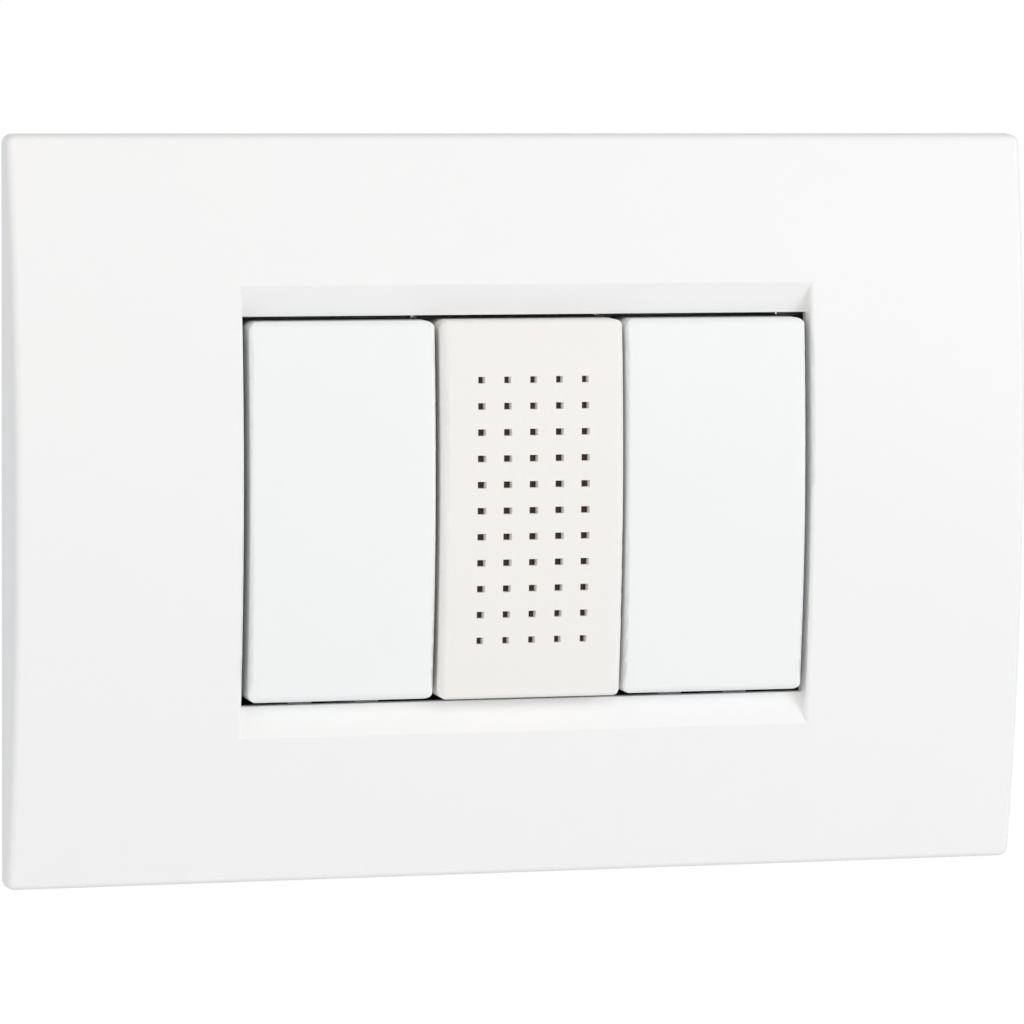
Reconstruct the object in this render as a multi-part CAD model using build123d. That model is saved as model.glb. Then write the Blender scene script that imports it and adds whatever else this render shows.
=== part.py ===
from build123d import *
import math
import os

# A doorbell chime in a flush wall box: a three-module cover plate, its mounting frame, a chime module in
# the middle and a push key module on each side.
# Lengths are millimetres and angles are degrees. X is the width and Z is up. The wall is the plane y = 0,
# the front faces -Y, and what is sunk in the wall box lies at +Y. The origin is the plate's centre on
# the wall.

# What the modules fix
module_count = 3
module_pitch = 22.5
opening_side_gap = 0.5
opening_height = 45.2

# Cover plate, a moulded shell that is crowned about a level axis
side_border = 27.05
end_border = 17.35
mouth_rise = 3.6
plate_depth = 6.6
plate_edge_depth = 2.14
plate_draft_angle = 4.0
plate_corner_radius = 1.2
plate_edge_radius = 0.8
plate_shell = 2.0
plate_rim = 1.8
mouth_edge_radius = 0.4
lip_step = 1.5
lip_thickness = 1.2
rib_thickness = 0.9
rib_gap = 0.8
rib_setback = 0.3
side_ribs = 5
side_rib_inset = 13.55
end_ribs = 7
end_rib_inset = 10.3

# Snap legs that hold the cover plate in the mounting frame
clip_side_inset = 6.5
clip_end_inset = 17.0
clip_thickness = 1.2
clip_width = 6.0
clip_reach = 3.2
clip_bump = 0.4
clip_bump_length = 1.6
clip_clearance = 0.15

# Mounting frame, a flange on the wall with a collar sunk in the wall box
flange_side_margin = 7.3
flange_end_margin = 10.55
flange_thickness = 1.4
flange_corner_radius = 4.0
window_side_gap = 0.5
window_end_gap = 1.9
collar_wall = 1.4
rim_gap = 0.2
ledge_depth = 7.5
ledge_thickness = 2.0
ledge_gap = 1.3
slot_width = 4.2
slot_length = 8.0

# Screws that fix the frame to the wall box
fixing_reach = 5.6
fixing_screw_radius = 1.75
fixing_neck_radius = 1.45
fixing_screw_length = 22.0
fixing_head_radius = 3.4
fixing_head_height = 1.9
fixing_head_round = 1.1
fixing_slot_width = 1.0
fixing_slot_depth = 1.1
fixing_point_chamfer = 0.9

# Fronts of the three modules, crowned as the plate is
front_gap = 0.5
front_wall = 1.5
front_skirt_wall = 1.2
front_corner_radius = 1.1

key_proud = 0.1
key_end_gap = 0.55
key_skirt_depth = 1.5
key_side_round = 0.5
key_end_round = 0.9

cover_proud = 0.8
cover_end_gap = 0.5
cover_side_round = 0.9
cover_end_round = 0.5

# Sound holes of the chime cover, whose sides slope, in a wall thinned by a recess
hole_columns = 5
hole_rows = 11
hole_pitch_x = 3.12
hole_pitch_z = 3.04
hole_width = 1.05
hole_height = 0.78
hole_side_angle = 12.0
grille_wall = 0.7
recess_clearance = 0.2

# Module housings, alike but for their length
housing_gap = 0.7
housing_end_gap = 1.0
housing_wall = 1.2
housing_corner_radius = 0.6
housing_front = 4.8
deck_thickness = 1.5
latch_width = 2.8
latch_side_gap = 0.6
latch_arm_front = -1.5
latch_arm_gap = 0.45
nose_gap = 0.4
nose_thickness = 1.8
hook_gap = 1.0
hook_thickness = 1.5
rear_cover_thickness = 1.6
rear_lip_depth = 1.2
rear_lip_wall = 1.0
rear_lip_clearance = 0.1
rear_edge_chamfer = 0.5

# Clamp terminals in the rear chamber of each housing
terminal_inset = 7.6
terminal_width = 7.0
terminal_size = 5.6
terminal_length = 7.0
terminal_room = 0.5
terminal_floor = 1.8
tail_setback = 0.4
wire_radius = 1.6
wire_entry_radius = 1.8
wire_entry_chamfer = 0.4
clamp_screw_radius = 1.5
clamp_head_radius = 2.5
clamp_head_height = 1.4
clamp_access_clearance = 0.4
screw_clearance = 0.05
driver_slot_width = 0.7
driver_slot_depth = 0.6

# Push key mechanism
key_deck_depth = 15.5
pivot_inset = 4.55
pivot_depth = -0.4
pivot_pin_radius = 1.2
pivot_clearance = 0.05
pivot_ear_gap = 0.3
pivot_ear_thickness = 1.2
pivot_ear_round = 2.2
pivot_base_depth = 2.0
key_leg_inset = 2.45
key_leg_width = 2.5
key_leg_thickness = 1.0
key_leg_gap = 0.5
key_leg_reach = 9.0
key_catch_depth = 7.6
key_catch_reach = 1.1
key_catch_play = 0.05
key_catch_travel = 4.8
spring_inset = 4.85
spring_radius = 2.1
spring_wire = 0.45
spring_turns = 6
spring_pilot_radius = 1.5
spring_pilot_length = 2.0
spring_seat_radius = 2.6
spring_front = -1.0
spring_back = 8.0

# Contacts of the push key
blade_depth = 8.2
blade_width = 4.5
blade_thickness = 0.4
blade_tip_reach = 1.6
contact_inset = 2.3
contact_gap = 1.0
contact_radius = 1.1
contact_thickness = 0.5
fixed_leaf_reach = 2.0
tail_slot_clearance = 0.2
pusher_rise = 4.9
pusher_width = 3.0
pusher_thickness = 2.0
pusher_gap = 0.3
blade_rib_length = 4.0

# Chime: a solenoid drives a plunger forwards against a tone plate hung on rubber
chime_deck_depth = 22.0
tone_side_gap = 1.7
tone_end_gap = 1.4
tone_thickness = 1.5
tone_depth = 2.5
tone_corner_radius = 2.0
tone_hole_radius = 2.6
post_inset = 4.5
post_radius = 3.0
grommet_flange_radius = 3.6
grommet_flange_thickness = 0.8
grommet_bore_radius = 1.3
grommet_clearance = 0.05
tone_screw_radius = 1.2
tone_screw_length = 8.0
tone_head_radius = 2.3
tone_head_height = 1.5
plunger_radius = 2.7
plunger_clearance = 0.05
plunger_travel = 3.0
strike_gap = 0.1
tip_wall = 1.1
tip_round = 0.8
tip_exposed = 1.4
tip_socket = 2.0
core_tube_wall = 0.4
core_clearance = 0.05
bobbin_tube_wall = 0.5
bobbin_flange_thickness = 0.8
bobbin_side_gap = 0.4
bobbin_end_gap = 0.1
winding_thickness = 1.4
winding_margin = 0.5
yoke_side_inset = 0.1
yoke_plate = 1.5
yoke_depth = 8.0
yoke_screw_radius = 1.0
yoke_screw_web = 0.875
yoke_head_radius = 1.7
yoke_head_height = 1.3
return_spring_gap = 0.225
return_spring_wire = 0.35
return_spring_turns = 5
return_spring_length = 6.2
collar_margin = 0.325
collar_thickness = 0.8
return_hole_clearance = 0.4
bumper_gap = 0.05
cloth_margin = 1.5
cloth_thickness = 0.5
lead_radius = 0.3
lead_wall_gap = 1.8
lead_bend = 1.6
lead_hole_clearance = 0.3

overrun = 1.0

# Places worked out from the sizes above
opening_width = module_count * module_pitch + 2 * opening_side_gap
plate_width = opening_width + 2 * side_border
mouth_height = opening_height + 2 * mouth_rise
plate_height = mouth_height + 2 * end_border
plate_sagitta = plate_depth - plate_edge_depth
crown_radius = ((plate_height / 2) ** 2 + plate_sagitta**2) / (2 * plate_sagitta)
side_rib_pitch = (plate_height - 2 * side_rib_inset) / (side_ribs - 1)
end_rib_pitch = (plate_width - 2 * end_rib_inset) / (end_ribs - 1)
flange_width = plate_width - 2 * flange_side_margin
flange_height = plate_height - 2 * flange_end_margin
clip_spacing = flange_width - 2 * clip_side_inset
clip_height = flange_height / 2 - clip_end_inset
window_width = opening_width + 2 * window_side_gap
window_height = opening_height + 2 * window_end_gap
fixing_spacing = window_width + 2 * collar_wall + 2 * fixing_reach
front_width = module_pitch - front_gap
key_crest = plate_depth + key_proud
key_height = opening_height - 2 * key_end_gap
cover_crest = plate_depth + cover_proud
cover_height = opening_height - 2 * cover_end_gap
housing_width = module_pitch - housing_gap
housing_height = opening_height - 2 * housing_end_gap
ledge_opening = housing_height + 2 * ledge_gap
inner_x = housing_width / 2 - housing_wall
inner_z = housing_height / 2 - housing_wall
nose_end = window_height / 2 - nose_gap
hook_end = window_height / 2 - hook_gap
latch_arm_start = key_height / 2 + latch_arm_gap
key_leg_place = inner_x - key_leg_inset
latch_place = key_leg_place - key_leg_width / 2 - latch_side_gap - latch_width / 2
key_rear_chamber = key_deck_depth + deck_thickness
chime_rear_chamber = chime_deck_depth + deck_thickness
key_housing_back = key_rear_chamber + terminal_length + terminal_room
chime_housing_back = chime_rear_chamber + terminal_length + terminal_room
terminal_height = housing_height / 2 - terminal_inset
terminal_inner = terminal_height - terminal_size / 2
pivot_height = key_height / 2 - pivot_inset
spring_height = spring_inset - key_height / 2
contact_height = contact_inset - terminal_inner
blade_tip_height = contact_height - blade_tip_reach
fixed_leaf_top = contact_height + fixed_leaf_reach
pusher_height = contact_height + pusher_rise
tone_width = 2 * (inner_x - tone_side_gap)
tone_height = 2 * (inner_z - tone_end_gap)
post_height = tone_height / 2 - post_inset
tone_back = tone_depth + tone_thickness
post_front = tone_back + grommet_flange_thickness
yoke_back = chime_deck_depth
bore_radius = plunger_radius + plunger_clearance
core_tube_radius = bore_radius + core_tube_wall
bobbin_bore_radius = core_tube_radius + core_clearance
bobbin_tube_radius = bobbin_bore_radius + bobbin_tube_wall
winding_radius = bobbin_tube_radius + winding_thickness
bobbin_flange_radius = winding_radius + winding_margin
yoke_width = 2 * (bobbin_flange_radius - yoke_side_inset)
yoke_height = 2 * (bobbin_flange_radius + bobbin_side_gap + yoke_plate)
return_spring_radius = plunger_radius + return_spring_gap + return_spring_wire / 2
collar_radius = return_spring_radius + return_spring_wire / 2 + collar_margin
return_hole_radius = return_spring_radius + return_spring_wire / 2 + return_hole_clearance
yoke_screw_height = return_hole_radius + yoke_screw_web + screw_clearance + yoke_screw_radius
tip_radius = plunger_radius - tip_wall
tip_front = tone_back + strike_gap + plunger_travel
plunger_front = tip_front + tip_exposed
collar_front = yoke_back + return_spring_length
plunger_back = collar_front + collar_thickness
cloth_width = (hole_columns - 1) * hole_pitch_x + hole_width + 2 * cloth_margin
cloth_height = (hole_rows - 1) * hole_pitch_z + hole_height + 2 * cloth_margin
lead_lane = inner_x - lead_wall_gap
lead_depth = (yoke_depth + yoke_back) / 2
lead_end_depth = chime_rear_chamber + terminal_length / 2


def block(x, y, z):
    """A box between two limits on each axis."""
    size = Box(x[1] - x[0], y[1] - y[0], z[1] - z[0])
    return Pos((x[0] + x[1]) / 2, (y[0] + y[1]) / 2, (z[0] + z[1]) / 2) * size


def slab(width, y, height, x=0, z=0):
    """A box that is centred on x and z and runs between two depths."""
    return block((x - width / 2, x + width / 2), y, (z - height / 2, z + height / 2))


def rod(radius, y, x=0, z=0):
    """A round bar along Y between two depths."""
    return Pos(x, (y[0] + y[1]) / 2, z) * Rot(90, 0, 0) * Cylinder(radius, y[1] - y[0])


def rod_x(radius, x, y, z):
    """A round bar along X."""
    return Pos((x[0] + x[1]) / 2, y, z) * Rot(0, 90, 0) * Cylinder(radius, x[1] - x[0])


def rod_z(radius, z, x, y):
    """A round bar along Z."""
    return Pos(x, y, (z[0] + z[1]) / 2) * Cylinder(radius, z[1] - z[0])


def facing_front(depth=0):
    """A plane square to Y that looks at the viewer, with X to the right and Z up."""
    return Plane(origin=(0, depth, 0), x_dir=(1, 0, 0), z_dir=(0, -1, 0))


def crown(z, crest, radius):
    """The depth of a face that is crowned about a level axis; crest is how far it stands out at z = 0."""
    return radius - crest - math.sqrt(radius**2 - z**2)


def crowned_bar(width, height, crest, radius, back, end_round=0):
    """A bar along X with a flat back and a crowned front, whose top and bottom edges may be rounded."""
    edge = crown(height / 2, crest, radius)
    front = ThreePointArc((edge, height / 2), (-crest, 0), (edge, -height / 2))
    rest = Polyline((edge, -height / 2), (back, -height / 2), (back, height / 2), (edge, height / 2))
    outline = make_face(front + rest)
    if end_round:
        outline = fillet(outline.vertices().group_by(Axis.X)[0], end_round)
    return extrude(Plane.YZ * outline, width / 2, both=True)


def crowned_ring(width, crest, radius, back, side_round):
    """A ring about the crown's axis, whose rounded front corners follow the crowned face."""
    depth = crest + back + overrun
    section = Pos(0, depth / 2 - crest, 0) * Rectangle(width, depth)
    section = fillet(section.vertices().group_by(Axis.Y)[0], side_round)
    return revolve(section, Axis((0, radius - crest, 0), (1, 0, 0)))


def module_front(crest, height, back, side_round, end_round):
    """The hollow front of a module: a crowned face on a skirt, with all its front edges rounded."""
    outline = RectangleRounded(front_width, height, front_corner_radius)
    shell = extrude(facing_front(back) * outline, crest + back + overrun)
    shell &= crowned_bar(front_width, height, crest, crown_radius, back, end_round)
    shell &= crowned_ring(front_width, crest, crown_radius, back, side_round)
    inside = crowned_bar(
        front_width - 2 * front_skirt_wall,
        height - 2 * front_skirt_wall,
        crest - front_wall,
        crown_radius - front_wall,
        back + overrun,
    )
    return shell - inside


def coil_spring(radius, wire, turns, y, z=0):
    """A compression spring along Y between two seats."""
    length = y[1] - y[0] - wire
    path = Helix(pitch=length / turns, height=length, radius=radius)
    section = Plane(origin=path @ 0, z_dir=path % 0) * Circle(wire / 2)
    return Pos(0, y[0] + wire / 2, z) * Rot(-90, 0, 0) * sweep(section, path=path, is_frenet=True)


# Cover plate


def tapered_block(width, height, depth, corner):
    """A block that stands on the wall and narrows towards the front by the plate's draft."""
    outline = RectangleRounded(width, height, corner)
    return extrude(facing_front() * outline, depth, taper=plate_draft_angle)


def mouth_edges():
    """The depths of the mouth's two edges: where it meets the crowned face, and at its lip."""
    edge = crown(mouth_height / 2, plate_depth, crown_radius)
    return edge, edge + lip_step


def mouth():
    """The hole through the plate: upright sides, and sloped faces above and below that end in a lip."""
    edge, lip = mouth_edges()
    slope = mouth_rise / lip_step
    front = -plate_depth - overrun
    low = opening_height / 2
    high = low + slope * (lip - front)
    corners = [(lip, low), (front, high), (front, -high), (lip, -low)]
    funnel = extrude(Plane.YZ * make_face(Polyline(*corners, close=True)), opening_width / 2, both=True)
    return funnel + slab(opening_width, (lip, overrun), opening_height)


def mouth_walls():
    """The walls that carry the sloped faces and close the mouth's sides, of even thickness."""
    edge, lip = mouth_edges()
    low = opening_height / 2
    high = mouth_height / 2
    front = (edge + plate_shell - plate_depth) / 2
    corners = [
        (lip - overrun, low),
        (lip + lip_thickness, low),
        (edge + lip_thickness, high),
        (front, high),
    ]
    web = extrude(
        Plane.YZ * make_face(Polyline(*corners, close=True)),
        opening_width / 2 + lip_thickness,
        both=True,
    )
    walls = web + mirror(web, Plane.XY)
    for side in (-1, 1):
        x = side * (opening_width + lip_thickness) / 2
        walls += slab(lip_thickness, (front, lip + lip_thickness), mouth_height, x)
    return walls


def snap_leg(side, z):
    """A leg that reaches through the frame, with a low bump behind the flange."""
    x = side * clip_spacing / 2
    leg = slab(clip_thickness, (plate_shell - plate_depth, clip_reach), clip_width, x, z)
    bump_x = x + side * (clip_thickness + clip_bump) / 2
    bump = slab(clip_bump, (clip_reach - clip_bump_length, clip_reach), clip_width, bump_x, z)
    return leg + bump


def plate_ribs():
    """Low ribs inside the border of the shell, clear of the frame's flange."""
    ribs = []
    inner = flange_width / 2 + rib_gap
    for row in range(side_ribs):
        z = (row - (side_ribs - 1) / 2) * side_rib_pitch
        front = crown(z, plate_depth - plate_shell / 2, crown_radius)
        for side in (-1, 1):
            x = sorted((side * inner, side * (plate_width / 2 - plate_rim)))
            ribs.append(block(x, (front, -rib_setback), (z - rib_thickness / 2, z + rib_thickness / 2)))
    low = flange_height / 2 + rib_gap
    high = plate_height / 2 - plate_rim
    front = crown((low + high) / 2, plate_depth - plate_shell / 2, crown_radius)
    for column in range(end_ribs):
        x = (column - (end_ribs - 1) / 2) * end_rib_pitch
        for side in (-1, 1):
            z = sorted((side * low, side * high))
            ribs.append(block((x - rib_thickness / 2, x + rib_thickness / 2), (front, -rib_setback), z))
    return ribs


def cover_plate():
    outer = tapered_block(plate_width, plate_height, plate_depth + overrun, plate_corner_radius)
    outer &= crowned_bar(plate_width, plate_height, plate_depth, crown_radius, overrun)
    face = outer.faces().sort_by(Axis.Y)[0]
    outer = fillet(face.edges(), plate_edge_radius)
    cavity = tapered_block(
        plate_width - 2 * plate_rim,
        plate_height - 2 * plate_rim,
        plate_depth + overrun,
        plate_corner_radius,
    )
    cavity &= crowned_bar(
        plate_width,
        plate_height,
        plate_depth - plate_shell,
        crown_radius - plate_shell,
        overrun,
    )
    shell = outer - cavity + mouth_walls() - mouth()
    crowned_face = shell.faces().sort_by(Axis.Y)[0]
    shell = fillet(crowned_face.inner_wires()[0].edges(), mouth_edge_radius)
    legs = [snap_leg(side, z) for side in (-1, 1) for z in (-clip_height, clip_height)]
    return shell + legs + plate_ribs()


# Mounting frame and its screws


def ledge(side):
    """The shelf above or below the window that the module latches grip."""
    z = sorted((side * ledge_opening / 2, side * window_height / 2 + side * collar_wall / 2))
    x = window_width / 2 + collar_wall / 2
    return block((-x, x), (ledge_depth, ledge_depth + ledge_thickness), z)


def mounting_frame():
    rim_width = window_width + 2 * collar_wall
    rim_tall = window_height + 2 * collar_wall
    flange = RectangleRounded(flange_width, flange_height, flange_corner_radius)
    frame = extrude(facing_front() * flange, flange_thickness)
    rim_front = mouth_edges()[1] + lip_thickness + rim_gap
    collar_back = ledge_depth + ledge_thickness
    frame += slab(rim_width, (rim_front, collar_back), rim_tall)
    frame -= slab(window_width, (rim_front - overrun, collar_back + overrun), window_height)
    frame += ledge(1)
    frame += ledge(-1)
    slot = Rotation(0, 0, 90) * SlotOverall(slot_length, slot_width)
    leg_room = clip_thickness + clip_bump + 2 * clip_clearance
    for side in (-1, 1):
        fixing = Pos(side * fixing_spacing / 2, 0, 0) * extrude(
            facing_front(overrun) * slot, flange_thickness + 2 * overrun
        )
        frame -= fixing
        x = side * (clip_spacing + clip_bump) / 2
        for z in (-clip_height, clip_height):
            frame -= slab(
                leg_room,
                (-flange_thickness - overrun, overrun),
                clip_width + 2 * clip_clearance,
                x,
                z,
            )
    return frame


def fixing_screws():
    screws = []
    for side in (-1, 1):
        x = side * fixing_spacing / 2
        head_front = -flange_thickness - fixing_head_height
        head = rod(fixing_head_radius, (head_front, -flange_thickness), x)
        head = fillet(head.edges().sort_by(Axis.Y)[0], fixing_head_round)
        head -= slab(
            2 * fixing_head_radius,
            (head_front - overrun, head_front + fixing_slot_depth),
            fixing_slot_width,
            x,
        )
        neck = rod(fixing_neck_radius, (-flange_thickness, 0), x)
        thread = rod(fixing_screw_radius, (0, fixing_screw_length), x)
        thread = chamfer(thread.edges().sort_by(Axis.Y)[-1], fixing_point_chamfer)
        screws.append(head + neck + thread)
    return screws


# Housings, terminals and rear covers, shared by the three modules


def housing_shell(back, deck):
    """A box open at the front and the back, with a deck across it, a stop above and latches."""
    shell = slab(housing_width, (housing_front, back), housing_height)
    shell = fillet(shell.edges().filter_by(Axis.Y), housing_corner_radius)
    shell -= slab(2 * inner_x, (housing_front - overrun, deck), 2 * inner_z)
    shell -= slab(2 * inner_x, (deck + deck_thickness, back + overrun), 2 * inner_z)
    ledge_back = ledge_depth + ledge_thickness
    nose = (ledge_depth - nose_thickness, ledge_depth)
    hook = (ledge_back, ledge_back + hook_thickness)
    wall = (housing_height - housing_wall) / 2
    shell += block((-housing_width / 2, housing_width / 2), nose, (wall, nose_end))
    for x in (-latch_place, latch_place):
        width = (x - latch_width / 2, x + latch_width / 2)
        shell += block(width, nose, (-nose_end, -wall))
        shell += block(width, hook, (-hook_end, -wall))
        shell += block(width, hook, (wall, hook_end))
    for side in (-1, 1):
        shell -= rod_z(
            clamp_head_radius + clamp_access_clearance,
            sorted((side * (inner_z - overrun), side * (housing_height / 2 + overrun))),
            0,
            deck + deck_thickness + terminal_length / 2,
        )
    return shell


def terminals(chamber):
    """Two clamp blocks, each with a wire hole from the back and a threaded hole into it."""
    blocks = []
    back = chamber + terminal_length
    for side in (-1, 1):
        z = side * terminal_height
        clamp = slab(terminal_width, (chamber, back), terminal_size, 0, z)
        clamp -= rod(wire_radius, (chamber + terminal_floor, back + overrun), 0, z)
        outer = side * (terminal_height + terminal_size / 2 + overrun)
        clamp -= rod_z(
            clamp_screw_radius + screw_clearance,
            sorted((z, outer)),
            0,
            chamber + terminal_length / 2,
        )
        blocks.append(clamp)
    return blocks


def terminal_screws(chamber):
    """The clamp screws, backed off so that the wire holes are open."""
    screws = []
    y = chamber + terminal_length / 2
    for side in (-1, 1):
        seat = side * (terminal_height + terminal_size / 2 + screw_clearance)
        tip = side * (terminal_height + wire_radius + screw_clearance)
        crest = seat + side * clamp_head_height
        screw = rod_z(clamp_screw_radius, sorted((tip, seat)), 0, y)
        screw += rod_z(clamp_head_radius, sorted((seat, crest)), 0, y)
        floor = crest - side * driver_slot_depth
        screw -= block(
            (-clamp_head_radius, clamp_head_radius),
            (y - driver_slot_width / 2, y + driver_slot_width / 2),
            sorted((floor, crest + side * overrun)),
        )
        screws.append(screw)
    return screws


def rear_cover(back):
    """A plate over the back of a housing, with a lip inside its walls and an entry for each wire."""
    reach_x = inner_x - rear_lip_clearance
    reach_z = inner_z - rear_lip_clearance
    cover = slab(housing_width, (back, back + rear_cover_thickness), housing_height)
    cover = fillet(cover.edges().filter_by(Axis.Y), housing_corner_radius)
    cover = chamfer(cover.faces().sort_by(Axis.Y)[-1].edges(), rear_edge_chamfer)
    lip = slab(2 * reach_x, (back - rear_lip_depth, back), 2 * reach_z)
    lip -= slab(
        2 * (reach_x - rear_lip_wall),
        (back - rear_lip_depth - overrun, back),
        2 * (reach_z - rear_lip_wall),
    )
    cover += lip
    outside = back + rear_cover_thickness
    funnel = Cone(wire_entry_radius, wire_entry_radius + wire_entry_chamfer, wire_entry_chamfer)
    for z in (-terminal_height, terminal_height):
        cover -= rod(wire_entry_radius, (back - overrun, outside + overrun), 0, z)
        cover -= Pos(0, outside - wire_entry_chamfer / 2, z) * Rot(-90, 0, 0) * funnel
    return cover


# Push key module, modelled about x = 0


def key_leg(side):
    """A leg that holds the key in, with a catch that the housing stops."""
    x = side * key_leg_place
    low = -inner_z + key_leg_gap
    leg = block(
        (x - key_leg_width / 2, x + key_leg_width / 2),
        (front_wall - key_crest, key_leg_reach),
        (low, low + key_leg_thickness),
    )
    catch = block(
        (x - key_leg_width / 2, x + key_leg_width / 2),
        (key_catch_depth + key_catch_play, key_leg_reach),
        (low - key_catch_reach, low),
    )
    return leg + catch


def push_key():
    key = module_front(key_crest, key_height, key_skirt_depth, key_side_round, key_end_round)
    skirt = front_width / 2 - front_skirt_wall
    pin_end = skirt - pivot_ear_gap - pivot_ear_thickness - pivot_ear_gap
    inner_face = front_wall - key_crest
    for side in (-1, 1):
        x = sorted((side * (skirt + front_skirt_wall / 2), side * pin_end))
        key += rod_x(pivot_pin_radius, x, pivot_depth, pivot_height)
        key += key_leg(side)
    key += rod(spring_seat_radius, (inner_face, spring_front), 0, spring_height)
    key += rod(
        spring_pilot_radius, (spring_front, spring_front + spring_pilot_length), 0, spring_height
    )
    key += slab(pusher_width, (inner_face, blade_depth - pusher_gap), pusher_thickness, 0, pusher_height)
    return key


def pivot_ear(side):
    """An ear that stands up from the housing and carries a key pin."""
    outer = front_width / 2 - front_skirt_wall - pivot_ear_gap
    x = sorted((side * outer, side * (outer - pivot_ear_thickness)))
    z = (pivot_height - pivot_ear_round, pivot_height + pivot_ear_round)
    ear = block(x, (pivot_depth, housing_front), z)
    ear += rod_x(pivot_ear_round, x, pivot_depth, pivot_height)
    base_x = sorted((side * (inner_x + housing_wall / 2), side * (outer - pivot_ear_thickness)))
    ear += block(base_x, (housing_front, housing_front + pivot_base_depth), z)
    reach = (side * (outer - pivot_ear_thickness - overrun), side * (outer + overrun))
    ear -= rod_x(pivot_pin_radius + pivot_clearance, sorted(reach), pivot_depth, pivot_height)
    return ear


def key_housing():
    housing = housing_shell(key_housing_back, key_deck_depth)
    housing += rod(spring_seat_radius, (spring_back, key_deck_depth), 0, spring_height)
    housing += rod(
        spring_pilot_radius, (spring_back - spring_pilot_length, spring_back), 0, spring_height
    )
    rib_top = terminal_inner - blade_thickness - tail_slot_clearance
    housing += block(
        (-blade_width / 2, blade_width / 2),
        (blade_depth + blade_thickness, key_deck_depth),
        (rib_top - blade_rib_length, rib_top),
    )
    fixed_back = blade_depth + blade_thickness + contact_thickness + contact_gap + contact_thickness
    housing += block(
        (-blade_width / 2, blade_width / 2),
        (fixed_back + blade_thickness, key_deck_depth),
        (-rib_top, fixed_leaf_top),
    )
    for side in (-1, 1):
        housing += pivot_ear(side)
        x = side * key_leg_place
        half = key_leg_width / 2 + pivot_ear_gap
        housing -= block(
            (x - half, x + half),
            (key_catch_depth, key_catch_depth + key_catch_travel),
            (-housing_height / 2 - overrun, -inner_z + overrun),
        )
        housing += slab(
            latch_width,
            (latch_arm_front, ledge_depth - nose_thickness / 2),
            nose_end - latch_arm_start,
            side * latch_place,
            -(nose_end + latch_arm_start) / 2,
        )
        tail = terminal_inner - blade_thickness / 2
        housing -= slab(
            blade_width + 2 * tail_slot_clearance,
            (key_deck_depth - overrun, key_rear_chamber + overrun),
            blade_thickness + 2 * tail_slot_clearance,
            0,
            side * tail,
        )
    return housing


def contact_blade():
    """The springy strip that the key bends, with its contact button at the foot and its tail at the top."""
    half = blade_width / 2
    back = blade_depth + blade_thickness
    blade = block((-half, half), (blade_depth, back), (blade_tip_height, terminal_inner))
    blade += block(
        (-half, half),
        (back, key_rear_chamber + terminal_length - tail_setback),
        (terminal_inner - blade_thickness, terminal_inner),
    )
    return blade + rod(contact_radius, (back, back + contact_thickness), 0, contact_height)


def fixed_contact():
    """The stiff strip behind the blade, with its contact button in front and its tail at the foot."""
    half = blade_width / 2
    button = blade_depth + blade_thickness + contact_thickness + contact_gap
    front = button + contact_thickness
    back = front + blade_thickness
    strip = block((-half, half), (front, back), (-terminal_inner, fixed_leaf_top))
    strip += block(
        (-half, half),
        (back, key_rear_chamber + terminal_length - tail_setback),
        (-terminal_inner, -terminal_inner + blade_thickness),
    )
    return strip + rod(contact_radius, (button, front), 0, contact_height)


def key_spring():
    return coil_spring(spring_radius, spring_wire, spring_turns, (spring_front, spring_back), spring_height)


# Chime module


def grille_sheet(margin, front, back):
    """A sheet behind the field of sound holes that follows the crown between two walls of the cover."""
    width = cloth_width + 2 * margin
    height = cloth_height + 2 * margin
    sheet = crowned_bar(width, height, cover_crest - front, crown_radius - front, 0)
    return sheet - crowned_bar(
        width + overrun,
        height + overrun,
        cover_crest - back,
        crown_radius - back,
        overrun,
    )


def sound_hole():
    """A cutter for one hole with sloped sides, which reaches the stated width at the crest."""
    depth = grille_wall + overrun
    wide = hole_width / 2
    narrow = wide - depth * math.tan(math.radians(hole_side_angle))
    back = depth - cover_crest
    corners = [(-wide, -cover_crest), (wide, -cover_crest), (narrow, back), (-narrow, back)]
    return extrude(make_face(Polyline(*corners, close=True)), hole_height / 2, both=True)


def chime_cover():
    cover = module_front(cover_crest, cover_height, housing_front, cover_side_round, cover_end_round)
    cover -= grille_sheet(recess_clearance, grille_wall, front_wall + overrun)
    hole = sound_hole()
    holes = []
    for row in range(hole_rows):
        z = (row - (hole_rows - 1) / 2) * hole_pitch_z
        for column in range(hole_columns):
            x = (column - (hole_columns - 1) / 2) * hole_pitch_x
            holes.append(Pos(x, 0, z) * hole)
    return cover - holes


def grille_cloth():
    """A thin acoustic cloth in the recess behind the sound holes."""
    return grille_sheet(0, grille_wall, grille_wall + cloth_thickness)


def tone_plate():
    outline = RectangleRounded(tone_width, tone_height, tone_corner_radius)
    plate = extrude(facing_front(tone_back) * outline, tone_thickness)
    for z in (-post_height, post_height):
        plate -= rod(tone_hole_radius, (tone_depth - overrun, tone_back + overrun), 0, z)
    return plate


def grommets():
    """Rubber sleeves that hang the tone plate on its posts and let it ring."""
    rings = []
    front = tone_depth - grommet_flange_thickness
    for z in (-post_height, post_height):
        ring = rod(tone_hole_radius - grommet_clearance, (front, post_front), 0, z)
        ring += rod(grommet_flange_radius, (front, tone_depth), 0, z)
        ring += rod(grommet_flange_radius, (tone_back, post_front), 0, z)
        ring -= rod(grommet_bore_radius, (front - overrun, post_front + overrun), 0, z)
        rings.append(ring)
    return rings


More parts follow.
